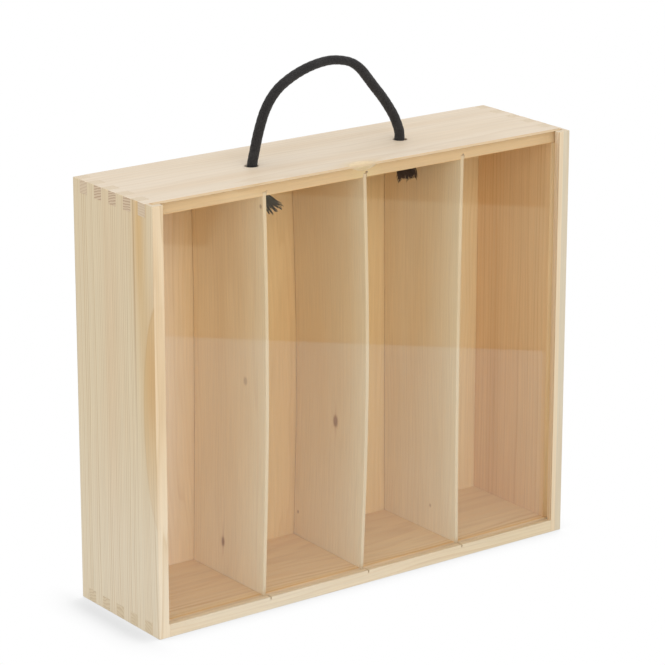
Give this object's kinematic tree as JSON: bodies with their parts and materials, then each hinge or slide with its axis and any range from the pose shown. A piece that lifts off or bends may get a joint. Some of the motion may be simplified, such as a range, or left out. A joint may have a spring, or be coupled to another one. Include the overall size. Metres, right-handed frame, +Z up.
{
  "type": "bottle gift box",
  "caption": "Shallow finger-jointed pine case with a clear front lid that slides up, dividers for upright bottles and a cord carrying handle.",
  "frame": {"origin": "middle of the case's underside, on the surface that the box stands on", "axes": "+X across the box to the right seen from the open front, +Y from the front to the back, +Z up through the handle"},
  "size_m": [0.3, 0.0826, 0.3144],
  "materials": {
    "board_pine": "planed and sanded, unvarnished",
    "divider_wood": "planed thin stock, unvarnished",
    "clear_acrylic": "clear, polished faces",
    "black_cord": "matt woven cotton cord"
  },
  "bodies": {
    "box": {"left_board": "board_pine", "right_board": "board_pine", "top_board": "board_pine", "bottom_board": "board_pine", "back_panel": "divider_wood", "divider_left": "divider_wood", "divider_middle": "divider_wood", "divider_right": "divider_wood", "cord_end_left": "black_cord", "cord_end_right": "black_cord"},
    "lid": {"sliding_lid": "clear_acrylic"},
    "handle": {"handle_cord": "black_cord"}
  },
  "joints": [
    {"name": "lid_slide", "type": "slide", "parent": "box", "child": "lid", "axis": [0, 0, 1], "range_m": [0, 0.24]},
    {"name": "handle_swing", "type": "hinge", "parent": "box", "child": "handle", "pos_m": [0, 0.0015, 0.26], "axis": [-1, 0, 0], "range_deg": [-38, 80], "stiffness_Nm_per_rad": 0.01}
  ]
}
